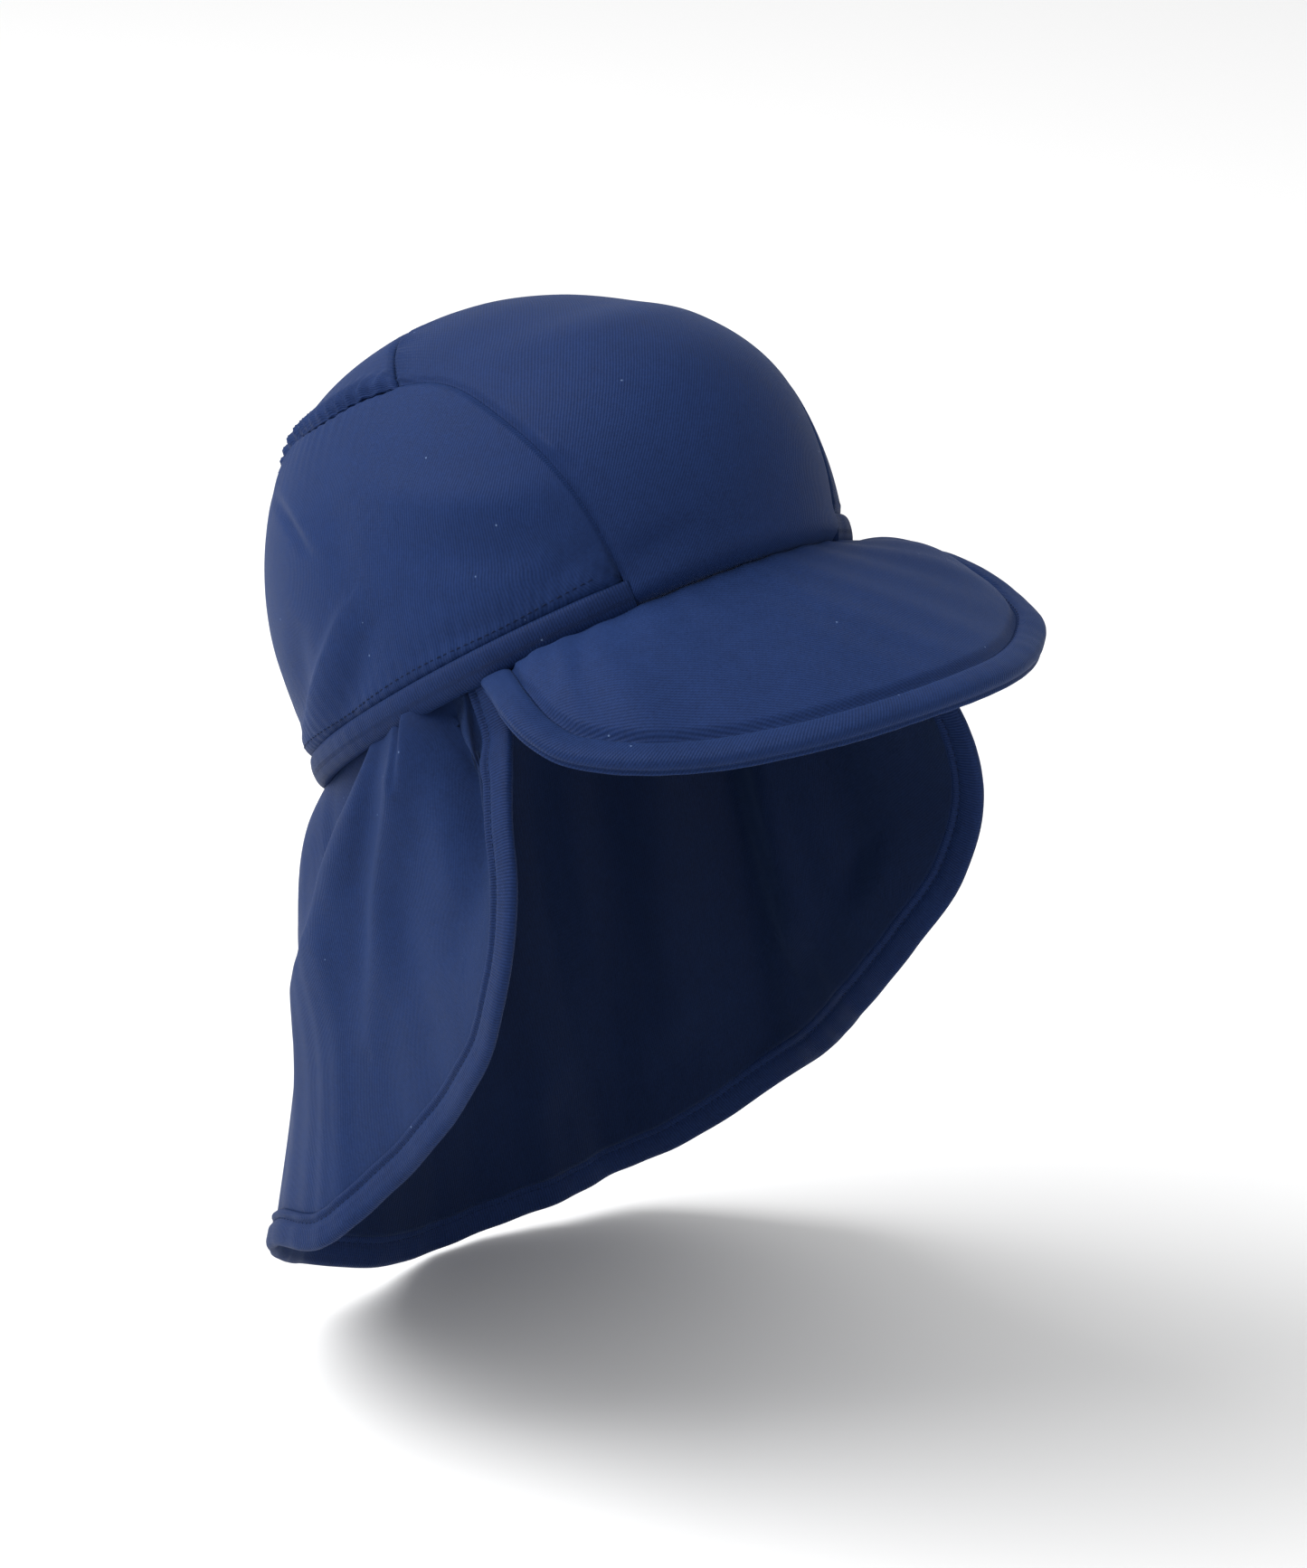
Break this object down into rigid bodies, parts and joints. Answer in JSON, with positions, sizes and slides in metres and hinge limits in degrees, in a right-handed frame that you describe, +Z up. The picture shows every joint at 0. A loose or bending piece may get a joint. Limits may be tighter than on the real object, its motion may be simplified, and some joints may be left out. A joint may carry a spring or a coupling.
{
  "type": "baby sun hat",
  "caption": "Baby sun hat with a panelled crown on an elastic casing, a padded sun peak and a long neck flap.",
  "frame": {"origin": "middle of the head opening, in the plane of the casing's lower edge", "axes": "+X to the wearer's left, -Y to the front where the peak points, +Z up as worn"},
  "size_m": [0.18, 0.2154, 0.2827],
  "materials": {
    "front_panel": "navy swim tricot with a fine diagonal rib and a soft sheen",
    "back_panel": "navy swim tricot with a fine rib and a soft sheen",
    "side_panel_right": "navy swim tricot with a fine upright rib and a soft sheen",
    "side_panel_left": "navy swim tricot with a fine upright rib and a soft sheen",
    "band_casing": "navy swim tricot folded over elastic, ribbed across its run",
    "peak": "navy swim tricot over soft foam with a fine diagonal rib",
    "peak_edge": "navy swim tricot rolled round the padded edge with a stitched groove",
    "flap": "navy swim tricot in soft folds, darker inside",
    "flap_hem": "navy swim tricot turned hem, ribbed across its run, with a dotted stitch line"
  },
  "bodies": {
    "root": {"front_panel": "front_panel", "back_panel": "back_panel", "side_panel_right": "side_panel_right", "side_panel_left": "side_panel_left", "band_casing": "band_casing", "peak": "peak", "peak_edge": "peak_edge", "flap": "flap", "flap_hem": "flap_hem"}
  },
  "joints": []
}
